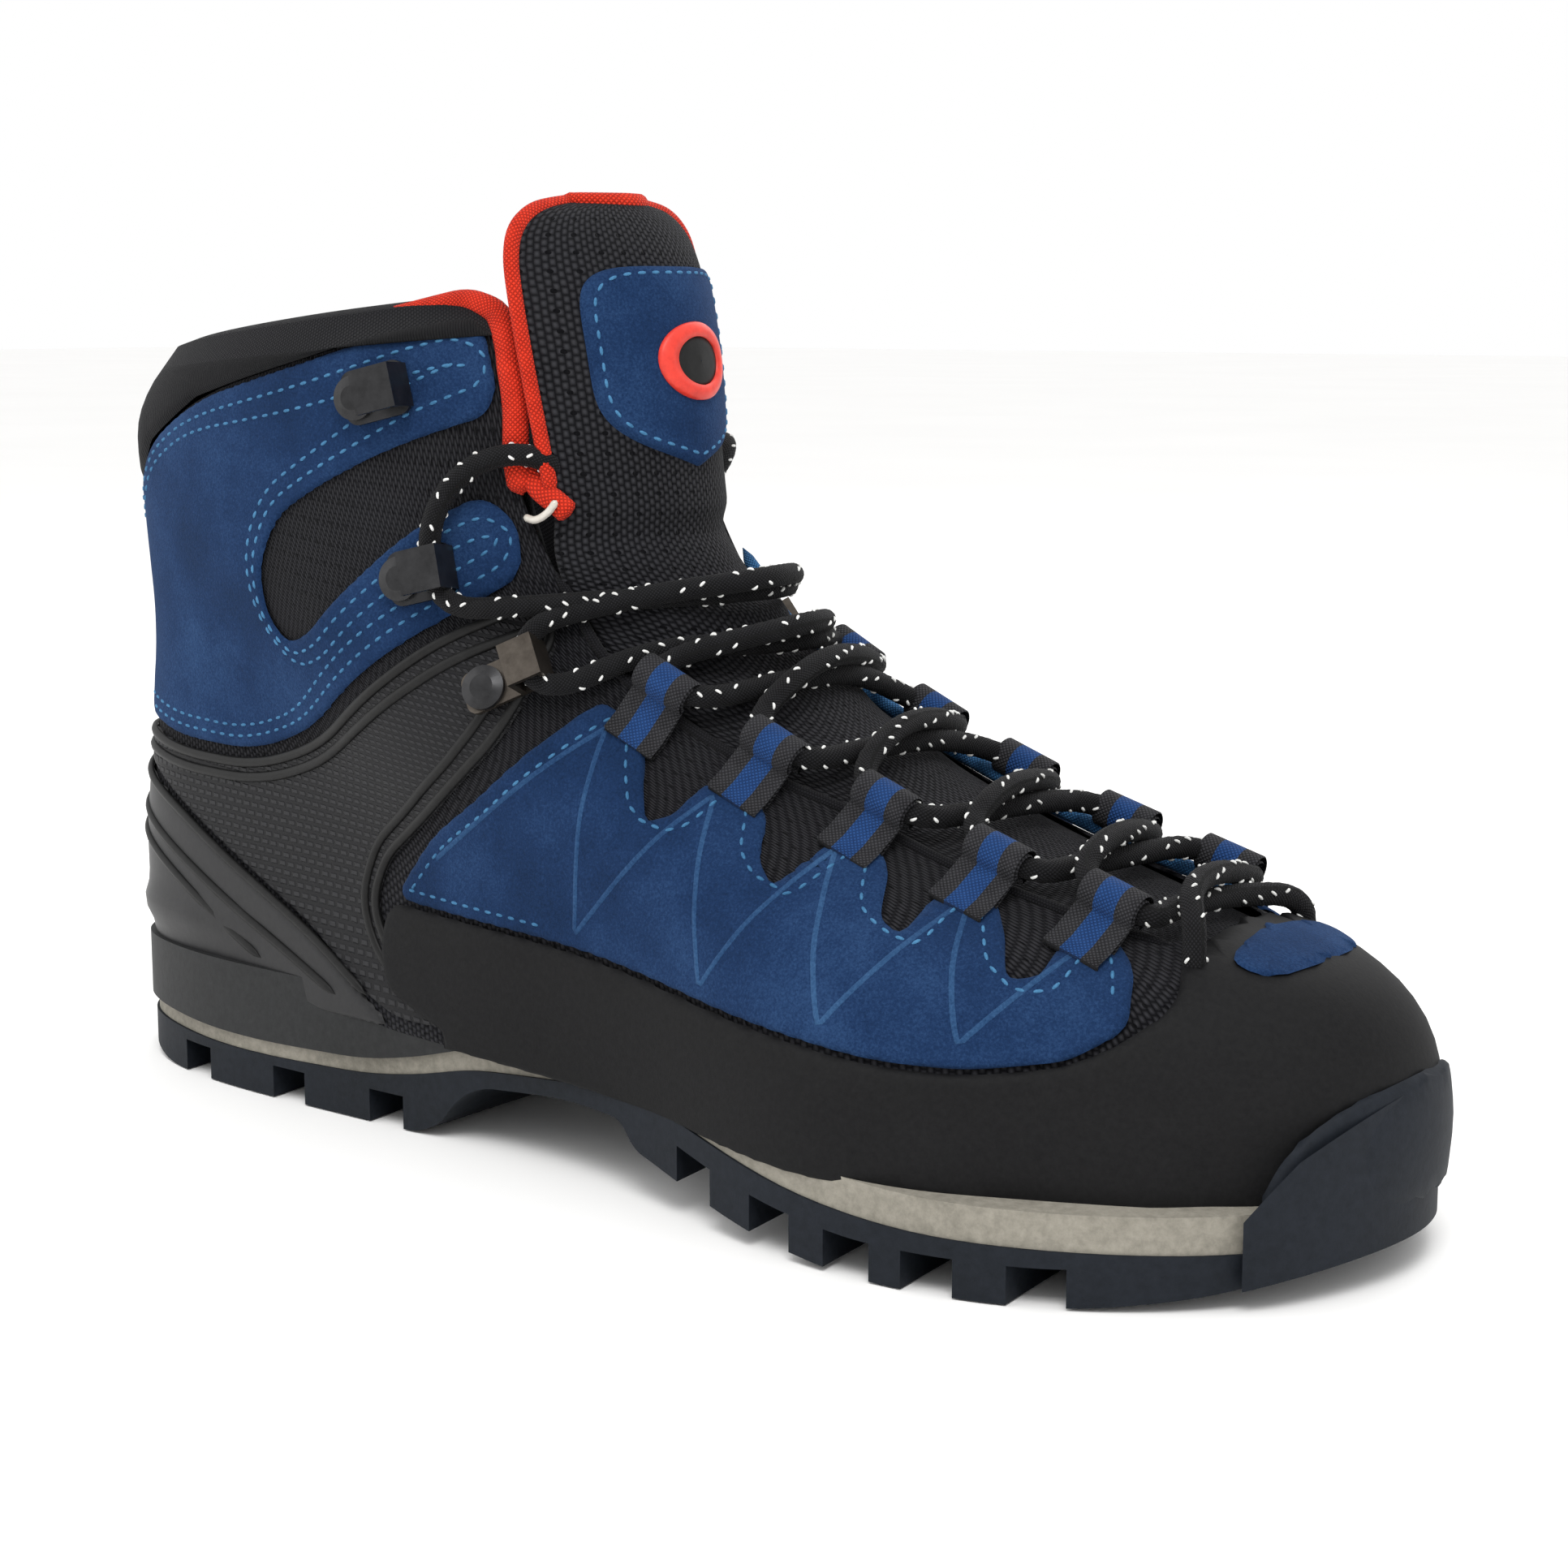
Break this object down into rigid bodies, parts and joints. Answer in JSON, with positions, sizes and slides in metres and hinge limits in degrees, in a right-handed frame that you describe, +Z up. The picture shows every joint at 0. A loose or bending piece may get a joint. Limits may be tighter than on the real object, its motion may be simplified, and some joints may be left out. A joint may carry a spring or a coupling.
{
  "type": "mountaineering boot",
  "caption": "Right mountaineering boot with lugged sole, rubber rand, suede and textile upper, padded collar, tilting tongue and speed-hook lacing.",
  "frame": {"origin": "centre of the sole's plan box, on the ground under the tread", "axes": "+X towards the toe, +Y towards the medial (big toe) side, +Z up out of the collar"},
  "size_m": [0.3116, 0.1176, 0.195],
  "materials": {
    "badge_rubber": "satin",
    "black_rubber": "matt",
    "black_textile": "knit",
    "blue_suede": "nubuck",
    "board": "matt",
    "dark_metal": "satin",
    "footbed_foam": "brushed",
    "grey_rubber": "satin",
    "grey_webbing": "woven",
    "lace_cord": "braided",
    "midsole_foam": "matt",
    "red_binding": "woven",
    "soft_lining": "brushed",
    "spring_steel": "brushed",
    "textured_synthetic": "coated"
  },
  "bodies": {
    "boot": {"achilles_ribs": "black_textile", "ankle_padding": "soft_lining", "ankle_panel_lateral": "textured_synthetic", "ankle_panel_medial": "textured_synthetic", "ankle_suede_lateral": "blue_suede", "ankle_suede_medial": "blue_suede", "collar_binding_lateral": "red_binding", "collar_binding_medial": "red_binding", "collar_pad": "black_textile", "facing_lateral": "black_textile", "facing_medial": "black_textile", "heel_counter": "grey_rubber", "heel_stabiliser": "grey_rubber", "insole_board": "board", "lace": "lace_cord", "lace_ring_lateral": "dark_metal", "lace_ring_medial": "dark_metal", "lining": "soft_lining", "lower_hook_lateral": "dark_metal", "lower_hook_medial": "dark_metal", "midsole": "midsole_foam", "outsole": "black_rubber", "rivets_lateral": "dark_metal", "rivets_medial": "dark_metal", "rubber_rand": "black_rubber", "shank": "spring_steel", "toe_bumper": "black_rubber", "toe_patch": "blue_suede", "tongue_lower": "black_textile", "upper_hook_lateral": "dark_metal", "upper_hook_medial": "dark_metal", "upper_shell": "black_textile", "vamp_suede_lateral": "blue_suede", "vamp_suede_medial": "blue_suede", "webbing_loops_lateral": "grey_webbing", "webbing_loops_medial": "grey_webbing"},
    "tongue": {"tongue_badge": "badge_rubber", "tongue_binding": "red_binding", "tongue_patch": "blue_suede", "tongue_upper": "black_textile"},
    "insole": {"footbed": "footbed_foam"}
  },
  "joints": [
    {"name": "tongue_tilt", "type": "hinge", "parent": "boot", "child": "tongue", "pos_m": [0.006, 0, 0.1196], "axis": [0, 1, 0], "range_deg": [0, 32], "stiffness_Nm_per_rad": 0.25},
    {"name": "footbed_lift", "type": "hinge", "parent": "boot", "child": "insole", "pos_m": [0.1349, 0, 0.0186], "axis": [0, 1, 0], "range_deg": [0, 6]}
  ]
}
